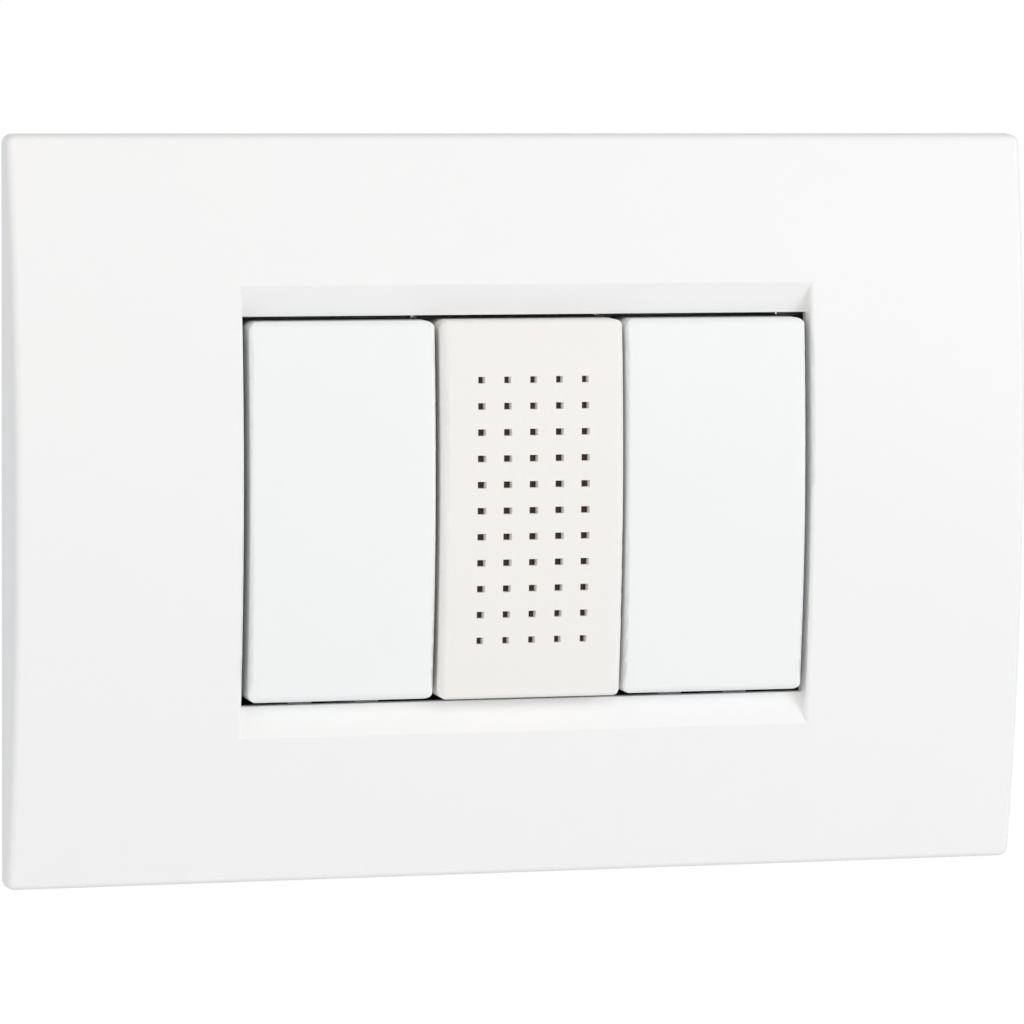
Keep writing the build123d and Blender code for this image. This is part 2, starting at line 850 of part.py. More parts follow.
def tone_screws():
    screws = []
    seat = tone_depth - grommet_flange_thickness
    for z in (-post_height, post_height):
        screw = rod(tone_head_radius, (seat - tone_head_height, seat), 0, z)
        screw += rod(tone_screw_radius, (seat, seat + tone_screw_length), 0, z)
        screw -= slab(
            2 * tone_head_radius,
            (seat - tone_head_height - overrun, seat - tone_head_height + driver_slot_depth),
            driver_slot_width,
            0,
            z,
        )
        screws.append(screw)
    return screws


def chime_housing():
    housing = housing_shell(chime_housing_back, chime_deck_depth)
    for z in (-post_height, post_height):
        housing += rod(post_radius, (post_front, chime_deck_depth), 0, z)
        housing -= rod(
            tone_screw_radius + screw_clearance,
            (post_front - overrun, tone_depth + tone_screw_length),
            0,
            z,
        )
        housing -= rod(
            lead_radius + lead_hole_clearance,
            (chime_deck_depth - overrun, chime_rear_chamber + overrun),
            math.copysign(lead_lane, z),
            z,
        )
    for z in (-yoke_screw_height, yoke_screw_height):
        housing -= rod(
            yoke_screw_radius + screw_clearance,
            (chime_deck_depth - overrun, chime_rear_chamber + overrun),
            0,
            z,
        )
    housing -= rod(return_hole_radius, (chime_deck_depth - overrun, chime_rear_chamber + overrun))
    return housing


def solenoid_yoke():
    """A steel strap round the coil, open at the sides, with the core tube through both end plates."""
    yoke = slab(yoke_width, (yoke_depth, yoke_back), yoke_height)
    yoke -= slab(
        yoke_width + overrun,
        (yoke_depth + yoke_plate, yoke_back - yoke_plate),
        yoke_height - 2 * yoke_plate,
    )
    yoke -= rod(bobbin_bore_radius, (yoke_depth - overrun, yoke_back + overrun))
    for z in (-yoke_screw_height, yoke_screw_height):
        yoke -= rod(
            yoke_screw_radius + screw_clearance,
            (yoke_back - yoke_plate - overrun, yoke_back + overrun),
            0,
            z,
        )
    return yoke


def yoke_screws():
    screws = []
    seat = chime_rear_chamber
    for z in (-yoke_screw_height, yoke_screw_height):
        screw = rod(yoke_screw_radius, (yoke_back - yoke_plate, seat), 0, z)
        screw += rod(yoke_head_radius, (seat, seat + yoke_head_height), 0, z)
        screw -= slab(
            2 * yoke_head_radius,
            (seat + yoke_head_height - driver_slot_depth, seat + yoke_head_height + overrun),
            driver_slot_width,
            0,
            z,
        )
        screws.append(screw)
    return screws


def bobbin_ends():
    """The depths of the bobbin's outer faces."""
    return (yoke_depth + yoke_plate + bobbin_end_gap, yoke_back - yoke_plate - bobbin_end_gap)


def coil_bobbin():
    front, back = bobbin_ends()
    bobbin = rod(bobbin_tube_radius, (front, back))
    bobbin += rod(bobbin_flange_radius, (front, front + bobbin_flange_thickness))
    bobbin += rod(bobbin_flange_radius, (back - bobbin_flange_thickness, back))
    return bobbin - rod(bobbin_bore_radius, (front - overrun, back + overrun))


def coil_winding():
    front, back = bobbin_ends()
    y = (front + bobbin_flange_thickness, back - bobbin_flange_thickness)
    return rod(winding_radius, y) - rod(bobbin_tube_radius, (y[0] - overrun, y[1] + overrun))


def core_tube():
    tube = rod(core_tube_radius, (yoke_depth, yoke_back))
    return tube - rod(bore_radius, (yoke_depth - overrun, yoke_back + overrun))


def plunger():
    body = rod(plunger_radius, (plunger_front, plunger_back))
    body += rod(collar_radius, (collar_front, plunger_back))
    return body - rod(tip_radius, (plunger_front - overrun, plunger_front + tip_socket))


def striker_tip():
    tip = rod(tip_radius, (tip_front, plunger_front + tip_socket))
    return fillet(tip.edges().sort_by(Axis.Y)[0], tip_round)


def return_spring():
    return coil_spring(
        return_spring_radius, return_spring_wire, return_spring_turns, (yoke_back, collar_front)
    )


def bumper_pad():
    """A felt disc on the rear cover that the plunger falls back on."""
    front = plunger_back + bumper_gap
    return rod(collar_radius, (front, chime_housing_back))


def coil_leads():
    """The two ends of the winding, led beside the yoke and through the deck to the terminals."""
    leads = []
    for side in (-1, 1):
        route = [
            (side * (winding_radius + lead_radius), lead_depth, 0),
            (side * lead_lane, lead_depth, side * yoke_height / 4),
            (side * lead_lane, lead_depth, side * post_height),
            (side * lead_lane, lead_end_depth, side * post_height),
            (side * terminal_width / 2, lead_end_depth, side * post_height),
        ]
        path = FilletPolyline(*route, radius=lead_bend)
        section = Plane(origin=path @ 0, z_dir=path % 0) * Circle(lead_radius)
        leads.append(sweep(section, path=path))
    return leads


def chime_rear_cover():
    return rear_cover(chime_housing_back)


def placed(shape, x):
    """One solid or a list of solids moved to a module's place."""
    if isinstance(shape, list):
        return [Pos(x, 0, 0) * part for part in shape]
    return Pos(x, 0, 0) * shape


def write(name, shape):
    """Write one node, whose solids stay separate."""
    if isinstance(shape, list):
        shape = Compound(children=[Part(part.wrapped) for part in shape])
    export_step(shape, f"parts/{name}.step")


os.makedirs("parts", exist_ok=True)

nodes = {
    "cover_plate": cover_plate(),
    "mounting_frame": mounting_frame(),
    "fixing_screws": fixing_screws(),
    "chime_cover": chime_cover(),
    "grille_cloth": grille_cloth(),
    "chime_housing": chime_housing(),
    "chime_rear_cover": chime_rear_cover(),
    "chime_terminals": terminals(chime_rear_chamber),
    "chime_terminal_screws": terminal_screws(chime_rear_chamber),
    "tone_plate": tone_plate(),
    "tone_plate_grommets": grommets(),
    "tone_plate_screws": tone_screws(),
    "solenoid_yoke": solenoid_yoke(),
    "yoke_screws": yoke_screws(),
    "coil_bobbin": coil_bobbin(),
    "coil_winding": coil_winding(),
    "coil_leads": coil_leads(),
    "core_tube": core_tube(),
    "plunger": plunger(),
    "striker_tip": striker_tip(),
    "return_spring": return_spring(),
    "bumper_pad": bumper_pad(),
}

key_module = {
    "key": push_key(),
    "key_housing": key_housing(),
    "key_spring": key_spring(),
    "contact_blade": contact_blade(),
    "fixed_contact": fixed_contact(),
    "terminals": terminals(key_rear_chamber),
    "terminal_screws": terminal_screws(key_rear_chamber),
    "rear_cover": rear_cover(key_housing_back),
}

for side_name, x in (("left", -module_pitch), ("right", module_pitch)):
    for name, shape in key_module.items():
        nodes[f"{side_name}_{name}"] = placed(shape, x)

for name, shape in nodes.items():
    write(name, shape)
    print(name)
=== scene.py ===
# %% [markdown]
# # A doorbell chime in its wall plate
#
# The object is a white moulded plate for a flush wall box. Three modules show in its opening: a chime
# behind a front with small square holes, and a plain push key on each side of it. The solid model already
# has every piece at its size and place. This lesson gives each piece the surface of the real one, makes
# the soft and wound pieces that plain solids can only hint at, and sets the camera and the light.

import math

import bmesh
import bpy
from mathutils import Matrix, Vector


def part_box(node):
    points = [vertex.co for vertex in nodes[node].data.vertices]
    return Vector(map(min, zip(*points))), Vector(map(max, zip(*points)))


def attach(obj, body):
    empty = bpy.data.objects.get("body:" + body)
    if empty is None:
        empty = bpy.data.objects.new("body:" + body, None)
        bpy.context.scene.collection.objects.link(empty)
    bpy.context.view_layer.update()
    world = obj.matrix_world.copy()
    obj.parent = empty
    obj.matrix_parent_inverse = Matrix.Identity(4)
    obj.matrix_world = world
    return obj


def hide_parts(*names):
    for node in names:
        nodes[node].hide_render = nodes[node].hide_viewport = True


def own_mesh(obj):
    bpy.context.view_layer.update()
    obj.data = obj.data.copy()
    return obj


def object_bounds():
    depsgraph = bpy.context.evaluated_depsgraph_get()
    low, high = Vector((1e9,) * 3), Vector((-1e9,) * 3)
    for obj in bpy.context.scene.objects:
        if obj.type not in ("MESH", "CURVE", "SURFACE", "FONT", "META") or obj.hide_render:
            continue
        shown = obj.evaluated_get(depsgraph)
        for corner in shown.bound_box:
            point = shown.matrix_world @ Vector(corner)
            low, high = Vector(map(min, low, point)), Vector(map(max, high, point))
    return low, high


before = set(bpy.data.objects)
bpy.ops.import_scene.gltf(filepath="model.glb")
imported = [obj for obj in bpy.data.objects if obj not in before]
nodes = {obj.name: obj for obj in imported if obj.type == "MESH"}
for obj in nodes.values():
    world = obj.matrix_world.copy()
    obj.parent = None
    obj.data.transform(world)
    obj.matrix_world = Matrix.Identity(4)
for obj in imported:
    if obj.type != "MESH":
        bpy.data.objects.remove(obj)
cad_low, cad_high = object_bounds()
print("nodes:", len(nodes), "size in mm:", [round(1000 * v, 1) for v in cad_high - cad_low])

# %% [markdown]
# ## Millimetres and colours
#
# Blender works in metres, and the sizes of a wall plate are easier to read in millimetres, so one value
# turns one into the other. Colours are picked in sRGB, as paint charts and image editors show them, but
# a shader adds light in linear values. One function does that change for every colour in the file.

# %% Units and colours
MM = 0.001


def linear(code):
    """A colour written as six hex digits in sRGB, as the linear RGBA that a shader expects."""
    channels = [int(code[i : i + 2], 16) / 255 for i in (0, 2, 4)]
    return [c / 12.92 if c <= 0.04045 else ((c + 0.055) / 1.055) ** 2.4 for c in channels] + [1.0]


def per(millimetres):
    """The scale of a texture whose features are that many millimetres apart."""
    return 1 / (millimetres * MM)


print("mid grey is", round(linear("808080")[0], 3))

# %% [markdown]
# ## The camera
#
# The front is seen from a little to its left and from slightly above, through a long lens, which keeps
# the long edges nearly parallel. A camera could be aimed with a Track To constraint, but its place, its
# two angles and a small roll give the same view with nothing left to solve. The three axes of the camera
# are worked out from the angles and written as the columns of its matrix.

# %% Camera
CAMERA_PLACE = Vector((-176.1688, -644.2748, 63.0292)) * MM
CAMERA_YAW = math.radians(15.2414)
CAMERA_PITCH = math.radians(5.4666)
CAMERA_ROLL = math.radians(0.4386)
FOCAL_PIXELS = 5708.30
FRAME_PIXELS = 1024

ahead = Vector(
    (
        math.sin(CAMERA_YAW) * math.cos(CAMERA_PITCH),
        math.cos(CAMERA_YAW) * math.cos(CAMERA_PITCH),
        -math.sin(CAMERA_PITCH),
    )
)
level = Vector((math.cos(CAMERA_YAW), -math.sin(CAMERA_YAW), 0))
upright = level.cross(ahead)
right = level * math.cos(CAMERA_ROLL) + upright * math.sin(CAMERA_ROLL)
up = upright * math.cos(CAMERA_ROLL) - level * math.sin(CAMERA_ROLL)

camera_data = bpy.data.cameras.new("photo_camera")
camera_data.sensor_fit = "HORIZONTAL"
camera_data.sensor_width = 36
camera_data.lens = camera_data.sensor_width * FOCAL_PIXELS / FRAME_PIXELS
camera_data.clip_start = 0.01
camera = bpy.data.objects.new("photo_camera", camera_data)
bpy.context.scene.collection.objects.link(camera)
camera.matrix_world = Matrix.Translation(CAMERA_PLACE) @ Matrix((right, up, -ahead)).transposed().to_4x4()
bpy.context.scene.camera = camera
print("lens in mm:", round(camera_data.lens, 1))

# %% [markdown]
# ## Colour on screen
#
# Blender's usual view transform, AgX, rolls bright tones off like film, which turns a white plate grey.
# The Standard transform shows a colour as it is written, and that is what a white object on white needs.

# %% View transform
bpy.context.scene.view_settings.view_transform = "Standard"
print("view transform:", bpy.context.scene.view_settings.view_transform)

# %% [markdown]
# ## Adding nodes
#
# Every surface below is a small network of nodes. Typing out each new node, its settings and its links
# would fill the file, so one function does those three things. It knows nothing about any kind of node:
# settings go by keyword, and each input is given either a value or another node's output.

# %% One function for all nodes
def add_node(tree, kind, inputs=None, **settings):
    """A new node with its settings. inputs maps a socket's name or number to a value or an output."""
    node = tree.nodes.new(kind)
    for name, value in settings.items():
        setattr(node, name, value)
    for name, value in (inputs or {}).items():
        if isinstance(value, bpy.types.NodeSocket):
            tree.links.new(value, node.inputs[name])
        else:
            node.inputs[name].default_value = value
    return node


def new_material(name):
    """A material with nothing but its output, and its node tree."""
    material = bpy.data.materials.new(name)
    material.use_nodes = True
    material.node_tree.nodes.clear()
    return material, material.node_tree


# %% [markdown]
# ## Light
#
# White plastic on white has no dark lines to help it: its form shows only in small steps of grey. The
# light is an even surround, which stands for the white walls of a small studio, and three large lamps.
# The widest is in front and above, so that a face tilted up is a little brighter than one tilted down,
# and so far forward that the shadow below the fronts stays faint. It is a little warm and the one on the
# right a little cool, which keeps the whites from looking like one flat tone. The weakest stands on the
# left, for the side of the plate and the walls of the opening.

# %% Surround
def looked_at(tree):
    """1 where the eye looks at a surface straight, in a reflection or through something clear, else 0."""
    path = add_node(tree, "ShaderNodeLightPath")
    seen = path.outputs["Is Camera Ray"]
    for ray in ("Is Glossy Ray", "Is Transmission Ray"):
        either = add_node(tree, "ShaderNodeMath", {0: seen, 1: path.outputs[ray]}, operation="MAXIMUM")
        seen = either.outputs[0]
    return seen


SURROUND_STRENGTH = 0.42

world = bpy.data.worlds.new("white_studio")
bpy.context.scene.world = world
world.use_nodes = True
tree = world.node_tree
tree.nodes.clear()
surround = add_node(
    tree, "ShaderNodeBackground", {"Color": linear("FAFCFF"), "Strength": SURROUND_STRENGTH}
)
backdrop = add_node(tree, "ShaderNodeBackground", {"Color": linear("FFFFFF"), "Strength": 1.0})
studio = add_node(
    tree, "ShaderNodeMixShader", {0: looked_at(tree), 1: surround.outputs[0], 2: backdrop.outputs[0]}
)
add_node(tree, "ShaderNodeOutputWorld", {"Surface": studio.outputs[0]})
print("surround strength:", SURROUND_STRENGTH)

# %% Lamps
LAMPS = {
    # name: place in mm, width in mm, power in watts, colour
    "front": ((-50, -1100, 600), 900, 3.5, "FFF2E0"),
    "right": ((800, -800, 260), 600, 5.4, "F6F9FF"),
    "left": ((-900, -400, 150), 700, 2.2, "FFFFFF"),
}
for name, (place, width, power, colour) in LAMPS.items():
    lamp_data = bpy.data.lights.new(name, "AREA")
    lamp_data.shape = "SQUARE"
    lamp_data.size = width * MM
    lamp_data.energy = power
    lamp_data.color = linear(colour)[:3]
    lamp = bpy.data.objects.new(name, lamp_data)
    lamp.location = Vector(place) * MM
    lamp.rotation_euler = (-lamp.location).to_track_quat("-Z", "Y").to_euler()
    bpy.context.scene.collection.objects.link(lamp)
print("lamps:", len(LAMPS))

# %% [markdown]
# ## Floor
#
# The plate hangs on a wall, so nothing stands on the floor. A plain pale floor still lies some way below,
# to catch the shadow in views from above. It is plain diffuse white with a little light of its own, only
# where the eye looks at it, which lifts it to the white of the surround and leaves the shadow in place.

# %% Floor
FLOOR_DROP = 400
FLOOR_REACH = 6000
FLOOR_LIFT = 0.61

mesh = bmesh.new()
bmesh.ops.create_grid(mesh, x_segments=1, y_segments=1, size=FLOOR_REACH * MM)
bmesh.ops.translate(mesh, verts=mesh.verts, vec=(0, 0, cad_low.z - FLOOR_DROP * MM))
floor_data = bpy.data.meshes.new("floor")
mesh.to_mesh(floor_data)
mesh.free()
floor = bpy.data.objects.new("floor", floor_data)
bpy.context.scene.collection.objects.link(floor)

material, tree = new_material("white_paper_floor")
place = add_node(tree, "ShaderNodeTexCoord")
fibres = add_node(
    tree, "ShaderNodeTexNoise", {"Vector": place.outputs["Object"], "Scale": per(4), "Detail": 3.0}
)
paper = add_node(
    tree,
    "ShaderNodeMix",
    {"Factor": fibres.outputs["Fac"], "A": linear("F6F6F5"), "B": linear("FBFBFB")},
    data_type="RGBA",
)
diffuse = add_node(tree, "ShaderNodeBsdfDiffuse", {"Color": paper.outputs[2]})
lift = add_node(tree, "ShaderNodeEmission", {"Color": linear("FFFFFF"), "Strength": FLOOR_LIFT})
dark = add_node(tree, "ShaderNodeEmission", {"Color": linear("000000"), "Strength": 0.0})
glow = add_node(tree, "ShaderNodeMixShader", {0: looked_at(tree), 1: dark.outputs[0], 2: lift.outputs[0]})
lifted_paper = add_node(tree, "ShaderNodeAddShader", {0: diffuse.outputs[0], 1: glow.outputs[0]})
add_node(tree, "ShaderNodeOutputMaterial", {"Surface": lifted_paper.outputs[0]})
floor.data.materials.append(material)
print("floor, mm below the model:", FLOOR_DROP)

# %% [markdown]
# ## Moulded plastic
#
# The plate, the fronts, the housings and the frame are all injection moulded. The steel of the mould
# leaves its own finish on them: a very fine spark-eroded grain, which makes the gloss satin, over long
# soft waves where the plastic cooled. Fine grain breaks up highlights, so it goes into the bump and the
# roughness. The pigment is not quite even, which gives the colour a faint cloud. The grain of such a mould
# is about 0.05 mm. It is drawn coarser here, because finer grain than a pixel only turns to noise.

# %% Moulded plastic
PLASTIC_GLOSS_SPREAD = 0.05


def moulded_plastic(name, base, cloud, roughness, grain, grain_depth, cloud_size=14, sink=0.02):
    """Pigmented plastic from a textured mould. grain and cloud_size are in mm, depths in mm too."""
    material, tree = new_material(name)
    place = add_node(tree, "ShaderNodeTexCoord").outputs["Object"]
    patches = add_node(
        tree,
        "ShaderNodeTexNoise",
        {"Vector": place, "Scale": per(cloud_size), "Detail": 2.0, "Roughness": 0.5},
    )
    colour = add_node(
        tree,
        "ShaderNodeMix",
        {"Factor": patches.outputs["Fac"], "A": linear(base), "B": linear(cloud)},
        data_type="RGBA",
    )
    fine = add_node(
        tree, "ShaderNodeTexNoise", {"Vector": place, "Scale": per(grain), "Detail": 4.0, "Roughness": 0.65}
    )
    gloss = add_node(
        tree,
        "ShaderNodeMapRange",
        {
            "Value": fine.outputs["Fac"],
            "To Min": roughness - PLASTIC_GLOSS_SPREAD,
            "To Max": roughness + PLASTIC_GLOSS_SPREAD,
        },
    )
    waves = add_node(
        tree,
        "ShaderNodeBump",
        {"Strength": 1.0, "Distance": sink * MM, "Height": patches.outputs["Fac"]},
    )
    texture = add_node(
        tree,
        "ShaderNodeBump",
        {
            "Strength": 1.0,
            "Distance": grain_depth * MM,
            "Height": fine.outputs["Fac"],
            "Normal": waves.outputs["Normal"],
        },
    )
    shader = add_node(
        tree,
        "ShaderNodeBsdfPrincipled",
        {
            "Base Color": colour.outputs[2],
            "Roughness": gloss.outputs[0],
            "IOR": 1.53,
            "Normal": texture.outputs["Normal"],
        },
    )
    add_node(tree, "ShaderNodeOutputMaterial", {"Surface": shader.outputs[0]})
    return material


PLASTICS = {
    "white_abs_plate": moulded_plastic("white_abs_plate", "F4F4F4", "F2F3F4", 0.42, 0.3, 0.002),
    "white_abs_key": moulded_plastic("white_abs_key", "F3F5F5", "F1F4F4", 0.38, 0.25, 0.0015),
    "warm_abs_chime": moulded_plastic("warm_abs_chime", "F1EEEB", "F0F0EE", 0.5, 0.28, 0.006, cloud_size=0.6),
    "charcoal_nylon_frame": moulded_plastic("charcoal_nylon_frame", "232324", "2B2B2C", 0.55, 0.4, 0.01),
    "grey_polycarbonate_housing": moulded_plastic(
        "grey_polycarbonate_housing", "DEDFE0", "D8D9DB", 0.45, 0.4, 0.006
    ),
    "natural_nylon": moulded_plastic("natural_nylon", "E4DECF", "DDD5C2", 0.4, 0.5, 0.003),
}
print("plastics:", ", ".join(PLASTICS))

# %% [markdown]
# ## Metals
#
# The metals are bare and each shows how it was made. Strip for the tone plate and the contacts is rolled,
# which draws fine lines along its length. Terminals are sawn from brass bar. Screws are plated with zinc,
# which is a little cloudy. Stretched noise gives such lines: the same noise, scaled far less along the
# direction of the tool than across it. A metal keeps the shader's own IOR and takes its tint from the
# base colour.

# %% Metals
METAL_GLOSS_SPREAD = 0.08
STAIN_SIZE = 5


def worked_metal(name, base, tarnish, roughness, across, along, depth):
    """Bare metal with tool lines. across and along are the size of the marks in mm on X, Y and Z."""
    material, tree = new_material(name)
    place = add_node(tree, "ShaderNodeTexCoord").outputs["Object"]
    stretch = add_node(
        tree,
        "ShaderNodeMapping",
        {"Vector": place, "Scale": [per(size) for size in (across, across, along)]},
    )
    lines = add_node(tree, "ShaderNodeTexNoise", {"Vector": stretch.outputs[0], "Scale": 1.0, "Detail": 3.0})
    stains = add_node(tree, "ShaderNodeTexNoise", {"Vector": place, "Scale": per(STAIN_SIZE), "Detail": 3.0})
    colour = add_node(
        tree,
        "ShaderNodeMix",
        {"Factor": stains.outputs["Fac"], "A": linear(base), "B": linear(tarnish)},
        data_type="RGBA",
    )
    gloss = add_node(
        tree,
        "ShaderNodeMapRange",
        {
            "Value": lines.outputs["Fac"],
            "To Min": roughness - METAL_GLOSS_SPREAD,
            "To Max": roughness + METAL_GLOSS_SPREAD,
        },
    )
    marks = add_node(
        tree, "ShaderNodeBump", {"Strength": 1.0, "Distance": depth * MM, "Height": lines.outputs["Fac"]}
    )
    shader = add_node(
        tree,
        "ShaderNodeBsdfPrincipled",
        {
            "Base Color": colour.outputs[2],
            "Metallic": 1.0,
            "Roughness": gloss.outputs[0],
            "Normal": marks.outputs["Normal"],
        },
    )
    add_node(tree, "ShaderNodeOutputMaterial", {"Surface": shader.outputs[0]})
    return material


METALS = {
    "zinc_plated_steel": worked_metal("zinc_plated_steel", "C9CCD0", "B4B8BF", 0.32, 0.5, 0.5, 0.002),
    "soft_iron": worked_metal("soft_iron", "9A9B9C", "85868A", 0.38, 0.15, 3.0, 0.003),
    "drawn_spring_steel": worked_metal("drawn_spring_steel", "B7B7B9", "9FA0A4", 0.25, 0.3, 0.3, 0.001),
    "sawn_brass": worked_metal("sawn_brass", "D9B36A", "C79C52", 0.34, 0.12, 2.0, 0.004),
    "rolled_bronze": worked_metal("rolled_bronze", "CF9A63", "B98450", 0.3, 0.12, 6.0, 0.002),
}
print("metals:", ", ".join(METALS))

# %% [markdown]
# ## Enamelled copper
#
# Magnet wire is drawn copper under a thin coat of varnish. The varnish is what sets it apart from bare
# copper: it stays deep orange-brown and carries its own sharper highlight. The shader's coat does that
# better than a lower roughness would, because the metal below keeps its softer gloss.

# %% Enamelled copper
enamelled_copper, tree = new_material("enamelled_copper")
place = add_node(tree, "ShaderNodeTexCoord").outputs["Object"]
varnish = add_node(tree, "ShaderNodeTexNoise", {"Vector": place, "Scale": per(1.2), "Detail": 2.0})
colour = add_node(
    tree,
    "ShaderNodeMix",
    {"Factor": varnish.outputs["Fac"], "A": linear("B5622F"), "B": linear("9A4A22")},
    data_type="RGBA",
)
gloss = add_node(
    tree, "ShaderNodeMapRange", {"Value": varnish.outputs["Fac"], "To Min": 0.28, "To Max": 0.4}
)
shader = add_node(
    tree,
    "ShaderNodeBsdfPrincipled",
    {
        "Base Color": colour.outputs[2],
        "Metallic": 1.0,
        "Roughness": gloss.outputs[0],
        "Coat Weight": 0.7,
        "Coat Roughness": 0.12,
    },
)
add_node(tree, "ShaderNodeOutputMaterial", {"Surface": shader.outputs[0]})

# %% [markdown]
# ## Rubber
#
# The grommets that hang the tone plate are moulded rubber. Rubber is dark but never quite black, scatters
# what little it reflects, and blooms: a faint grey film comes to its surface in patches.

# %% Rubber
moulded_rubber, tree = new_material("moulded_rubber")
place = add_node(tree, "ShaderNodeTexCoord").outputs["Object"]
bloom = add_node(tree, "ShaderNodeTexNoise", {"Vector": place, "Scale": per(1.5), "Detail": 4.0})
colour = add_node(
    tree,
    "ShaderNodeMix",
    {"Factor": bloom.outputs["Fac"], "A": linear("191919"), "B": linear("2A2A2B")},
    data_type="RGBA",
)
skin = add_node(
    tree, "ShaderNodeBump", {"Strength": 1.0, "Distance": 0.01 * MM, "Height": bloom.outputs["Fac"]}
)
shader = add_node(
    tree,
    "ShaderNodeBsdfPrincipled",
    {"Base Color": colour.outputs[2], "Roughness": 0.7, "IOR": 1.5, "Normal": skin.outputs["Normal"]},
)
add_node(tree, "ShaderNodeOutputMaterial", {"Surface": shader.outputs[0]})

# %% [markdown]
# ## Dressing the solid pieces
#
# Most pieces are hard parts whose shape is already right, so they only need their surface. A table says
# which piece has which finish, with the two key modules filled in by a loop, and each solid's own
# material slot takes it.

# %% Finishes of the solid pieces
FINISHES = {
    "cover_plate": PLASTICS["white_abs_plate"],
    "mounting_frame": PLASTICS["charcoal_nylon_frame"],
    "fixing_screws": METALS["zinc_plated_steel"],
    "chime_cover": PLASTICS["warm_abs_chime"],
    "chime_housing": PLASTICS["grey_polycarbonate_housing"],
    "chime_rear_cover": PLASTICS["grey_polycarbonate_housing"],
    "chime_terminals": METALS["sawn_brass"],
    "chime_terminal_screws": METALS["zinc_plated_steel"],
    "tone_plate": METALS["rolled_bronze"],
    "tone_plate_grommets": moulded_rubber,
    "tone_plate_screws": METALS["zinc_plated_steel"],
    "solenoid_yoke": METALS["soft_iron"],
    "yoke_screws": METALS["zinc_plated_steel"],
    "coil_bobbin": PLASTICS["natural_nylon"],
    "coil_leads": enamelled_copper,
    "core_tube": METALS["sawn_brass"],
    "plunger": METALS["soft_iron"],
    "striker_tip": PLASTICS["natural_nylon"],
}
for side in ("left", "right"):
    FINISHES[f"{side}_key"] = PLASTICS["white_abs_key"]
    FINISHES[f"{side}_key_housing"] = PLASTICS["grey_polycarbonate_housing"]
    FINISHES[f"{side}_rear_cover"] = PLASTICS["grey_polycarbonate_housing"]
    FINISHES[f"{side}_contact_blade"] = METALS["rolled_bronze"]
    FINISHES[f"{side}_fixed_contact"] = METALS["rolled_bronze"]
    FINISHES[f"{side}_terminals"] = METALS["sawn_brass"]
    FINISHES[f"{side}_terminal_screws"] = METALS["zinc_plated_steel"]

for name, material in FINISHES.items():
    node = nodes[name]
    if not node.material_slots:
        node.data.materials.append(material)
    for slot in node.material_slots:
        slot.material = material
print("dressed:", len(FINISHES), "of", len(nodes))

# %% [markdown]
# ## From bmesh to a piece
#
# The remaining pieces are made here. Each one starts as a bmesh, and each needs the same last steps: its
# faces turned outwards, smooth shading that breaks at real corners, a material, the body it moves with
# and the record's slot that it takes its finish from.

# %% Finishing a new piece
CORNER = math.radians(40)
SAME_POINT = 0.0001


def finish_piece(name, mesh, material, body, stands_for):
    """Turns a bmesh into an object of the model that stands for one of its solids."""
    bmesh.ops.remove_doubles(mesh, verts=mesh.verts, dist=SAME_POINT * MM)
    bmesh.ops.recalc_face_normals(mesh, faces=mesh.faces)
    for face in mesh.faces:
        face.smooth = True
    for edge in mesh.edges:
        edge.smooth = not (edge.is_manifold and edge.calc_face_angle() > CORNER)
    data = bpy.data.meshes.new(name)
    mesh.to_mesh(data)
    mesh.free()
    data.materials.append(material)
    piece = bpy.data.objects.new(name, data)
    bpy.context.scene.collection.objects.link(piece)
    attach(piece, body)
    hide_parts(stands_for)
    print(name, "faces:", len(data.polygons))
    return piece


# %% [markdown]
# ## Acoustic cloth
#
# A thin dark cloth lies in a recess behind the sound holes. It lets sound out and keeps dust from getting
# in. The cloth itself is dark. Its brown tint is painted light: it stands in for warm light coming through
# the plastic walls of the holes, which makes them look brown and not black. It is a sheet stretched against
# a crowned wall, so it is made as one: a straight edge is spun through a small angle about the axis of the
# crown, and given its thickness afterwards. The weave is plain, with threads about 0.12 mm apart. It is drawn
# at 0.3 mm, so that at least a thread or two shows in each hole. Blender's wave texture repeats 20 times in
# every tau, a full turn, of its own length, which the scale has to take up.

# %% Cloth surface
THREAD = 0.3
WAVE_LENGTH = math.tau / 20

acoustic_cloth, tree = new_material("acoustic_cloth")
place = add_node(tree, "ShaderNodeTexCoord").outputs["Object"]
warp = add_node(
    tree,
    "ShaderNodeTexWave",
    {"Vector": place, "Scale": WAVE_LENGTH * per(THREAD), "Distortion": 0.4, "Detail": 1.0},
    bands_direction="X",
)
weft = add_node(
    tree,
    "ShaderNodeTexWave",
    {"Vector": place, "Scale": WAVE_LENGTH * per(THREAD), "Distortion": 0.4, "Detail": 1.0},
    bands_direction="Z",
)
crossing = add_node(
    tree, "ShaderNodeMath", {0: warp.outputs["Fac"], 1: weft.outputs["Fac"]}, operation="MAXIMUM"
)
# The dark of the threads is the cloth's own colour; their brown is painted warm light from the hole walls.
colour = add_node(
    tree,
    "ShaderNodeMix",
    {"Factor": crossing.outputs[0], "A": linear("241A14"), "B": linear("4A382C")},
    data_type="RGBA",
)
threads = add_node(
    tree, "ShaderNodeBump", {"Strength": 1.0, "Distance": 0.05 * MM, "Height": crossing.outputs[0]}
)
shader = add_node(
    tree,
    "ShaderNodeBsdfPrincipled",
    {
        "Base Color": colour.outputs[2],
        "Roughness": 0.9,
        "Sheen Weight": 0.2,
        "Sheen Roughness": 0.5,
        "Normal": threads.outputs["Normal"],
    },
)
add_node(tree, "ShaderNodeOutputMaterial", {"Surface": shader.outputs[0]})

# %% Cloth sheet
CLOTH_THICKNESS = 0.35
CLOTH_RADIUS = 214.15
CLOTH_ROWS = 48
CLOTH_COLUMNS = 24

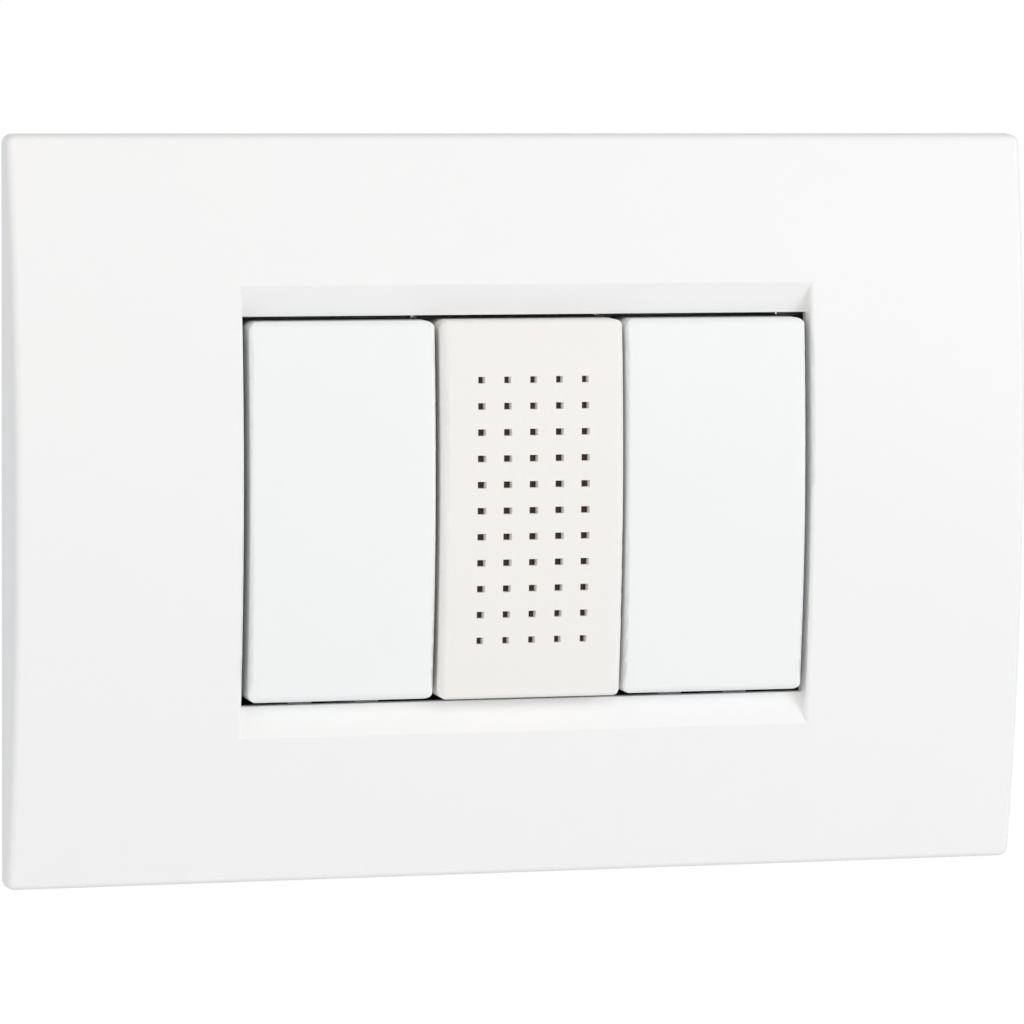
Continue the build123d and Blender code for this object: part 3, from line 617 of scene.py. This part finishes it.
low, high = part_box("grille_cloth")
width = high.x - low.x
height = high.z - low.z
crest = low.y + CLOTH_THICKNESS / 2 * MM
radius = CLOTH_RADIUS * MM
half_angle = math.asin(height / 2 / radius)

mesh = bmesh.new()
ends = [mesh.verts.new((x, crest, 0)) for x in (low.x, high.x)]
edge = mesh.edges.new(ends)
centre = Vector((0, crest + radius, 0))
bmesh.ops.rotate(mesh, verts=ends, cent=centre, matrix=Matrix.Rotation(-half_angle, 3, "X"))
bmesh.ops.spin(
    mesh, geom=[*ends, edge], cent=centre, axis=(1, 0, 0), angle=2 * half_angle, steps=CLOTH_ROWS
)
level_edges = [e for e in mesh.edges if abs(e.verts[0].co.x - e.verts[1].co.x) > width / 2]
bmesh.ops.subdivide_edges(mesh, edges=level_edges, cuts=CLOTH_COLUMNS - 1)
cloth = finish_piece("acoustic_lining", mesh, acoustic_cloth, "frame", "grille_cloth")
solidify = cloth.modifiers.new("thickness", "SOLIDIFY")
solidify.thickness = CLOTH_THICKNESS * MM
solidify.offset = 0

# %% [markdown]
# ## Winding a wire
#
# A screw thread, a coil and a spring are the same shape: a small circle, spun and moved along the axis at
# once. Spin does both when it is given a step to move by, and it closes the wire with the circle that it
# started from. It hands back the wire's new end, so that a wire can be wound on at another pitch.

# %% Winding a wire
SECTION_SIDES = 8
STEPS_PER_TURN = 32
TURNING = (0, 1, 0)


def wire_end(mesh, place, radius):
    """A filled circle across a wire, as the list of geometry that spin takes."""
    circle = bmesh.ops.create_circle(
        mesh, cap_ends=True, radius=radius, segments=SECTION_SIDES, matrix=Matrix.Translation(place)
    )["verts"]
    edges = dict.fromkeys(edge for vert in circle for edge in vert.link_edges)
    faces = dict.fromkeys(face for vert in circle for face in vert.link_faces)
    return [*circle, *edges, *faces]


def wind(mesh, end, centre, turns, rise):
    """Winds a wire on by some turns, which rise along Y by so much in all, and returns its new end."""
    steps = turns * STEPS_PER_TURN
    return bmesh.ops.spin(
        mesh,
        geom=end,
        cent=centre,
        axis=TURNING,
        dvec=(0, rise / steps, 0),
        angle=math.tau * turns,
        steps=steps,
    )["geom_last"]


# %% [markdown]
# ## Coil winding
#
# The solenoid's coil is a few hundred turns of thin wire on a bobbin, and its outer layer is what shows
# when the housing is open. Winding every turn would be wasted work, so a plain core fills the bobbin, and
# one unbroken wire is laid over it, sunk a little so that no gap shows between its turns.

# %% Coil winding
COIL_WIRE = 0.38
BOBBIN_WALL = 0.55
SUNK_PART = 0.2

low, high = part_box("coil_winding")
outer = (high.x - low.x) / 2
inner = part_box("core_tube")[1].x + BOBBIN_WALL * MM
wire = COIL_WIRE * MM
turns = int((high.y - low.y) / wire)
rise = high.y - low.y - wire

mesh = bmesh.new()
core_radius = outer - (1 - SUNK_PART) * wire
corners = [(inner, low.y), (inner, high.y), (core_radius, high.y), (core_radius, low.y)]
loop = [mesh.verts.new((x, y, 0)) for x, y in corners]
sides = [mesh.edges.new((loop[i], loop[i - 1])) for i in range(4)]
bmesh.ops.spin(
    mesh,
    geom=[*loop, *sides],
    cent=(0, 0, 0),
    axis=TURNING,
    angle=math.tau,
    steps=2 * STEPS_PER_TURN,
    use_merge=True,
)
end = wire_end(mesh, (outer - wire / 2, low.y + wire / 2, 0), wire / 2)
wind(mesh, end, (0, 0, 0), turns - 1, rise)
finish_piece("wound_wire", mesh, enamelled_copper, "frame", "coil_winding")
print("turns:", turns, "pitch in mm:", round(1000 * rise / (turns - 1), 3))

# %% [markdown]
# ## Springs
#
# Each key and the plunger works against a small compression spring. The spring is made here as it is
# wound: its first and last turns lie closed against their neighbours, so that it stands straight on its
# seats, and the turns between are open. It stays as it is when its joint moves.

# %% Springs
CLOSED_TURN = 1.05

SPRINGS = {
    # node: piece, wire in mm, open turns, joint, end that stays still, share of its length kept at limit
    "left_key_spring": ("left_wound_spring", 0.45, 4, "left_key_press", "high", 0.74),
    "right_key_spring": ("right_wound_spring", 0.45, 4, "right_key_press", "high", 0.74),
    "return_spring": ("plunger_wound_spring", 0.35, 3, "plunger_strike", "low", 0.51),
}


def wound_spring(low, high, wire, open_turns):
    """A round wire wound along Y from end to end of a box, with one closed turn at each end."""
    mesh = bmesh.new()
    centre = (low + high) / 2
    closed = CLOSED_TURN * wire
    free = high.y - low.y - wire - 2 * closed
    end = wire_end(mesh, (high.x - wire / 2, low.y + wire / 2, centre.z), wire / 2)
    for turns, rise in ((1, closed), (open_turns, free), (1, closed)):
        end = wind(mesh, end, centre, turns, rise)
    return mesh


steel = METALS["drawn_spring_steel"]
for node_name, (piece_name, wire, open_turns, joint, still_end, keep) in SPRINGS.items():
    low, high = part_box(node_name)
    mesh = wound_spring(low, high, wire * MM, open_turns)
    spring = finish_piece(piece_name, mesh, steel, "frame", node_name)
    anchor = (low + high) / 2
    anchor.y = high.y if still_end == "high" else low.y
    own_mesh(spring)

# %% [markdown]
# ## Felt bumper
#
# The plunger falls back on a disc of pressed felt, which keeps the return stroke quiet. A disc punched
# out of felt has soft rims and no hard corner, so a circle is extruded and both its rims are bevelled. The
# matted fibres are finer than the outline could show, and are left to the bump of the surface.

# %% Felt surface
pressed_felt, tree = new_material("pressed_felt")
place = add_node(tree, "ShaderNodeTexCoord").outputs["Object"]
fibres = add_node(
    tree, "ShaderNodeTexNoise", {"Vector": place, "Scale": per(0.25), "Detail": 6.0, "Roughness": 0.7}
)
colour = add_node(
    tree,
    "ShaderNodeMix",
    {"Factor": fibres.outputs["Fac"], "A": linear("55585C"), "B": linear("7C8085")},
    data_type="RGBA",
)
matted = add_node(
    tree, "ShaderNodeBump", {"Strength": 1.0, "Distance": 0.08 * MM, "Height": fibres.outputs["Fac"]}
)
shader = add_node(
    tree,
    "ShaderNodeBsdfPrincipled",
    {
        "Base Color": colour.outputs[2],
        "Roughness": 0.95,
        "Sheen Weight": 0.4,
        "Sheen Roughness": 0.6,
        "Normal": matted.outputs["Normal"],
    },
)
add_node(tree, "ShaderNodeOutputMaterial", {"Surface": shader.outputs[0]})

# %% Felt disc
FELT_SIDES = 64
FELT_RIM = 0.35

low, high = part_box("bumper_pad")
mesh = bmesh.new()
facing = Matrix.Translation((0, high.y, 0)) @ Matrix.Rotation(math.radians(90), 4, "X")
bmesh.ops.create_circle(
    mesh, cap_ends=True, radius=(high.x - low.x) / 2, segments=FELT_SIDES, matrix=facing
)
raised = bmesh.ops.extrude_face_region(mesh, geom=list(mesh.faces), use_keep_orig=True)
lifted = [g for g in raised["geom"] if isinstance(g, bmesh.types.BMVert)]
bmesh.ops.translate(mesh, verts=lifted, vec=(0, low.y - high.y, 0))
rims = [e for e in mesh.edges if e.is_manifold and e.calc_face_angle() > CORNER]
bmesh.ops.bevel(
    mesh, geom=rims, offset=FELT_RIM * MM, segments=3, affect="EDGES", profile=0.5, material=-1
)
finish_piece("felt_bumper", mesh, pressed_felt, "frame", "bumper_pad")
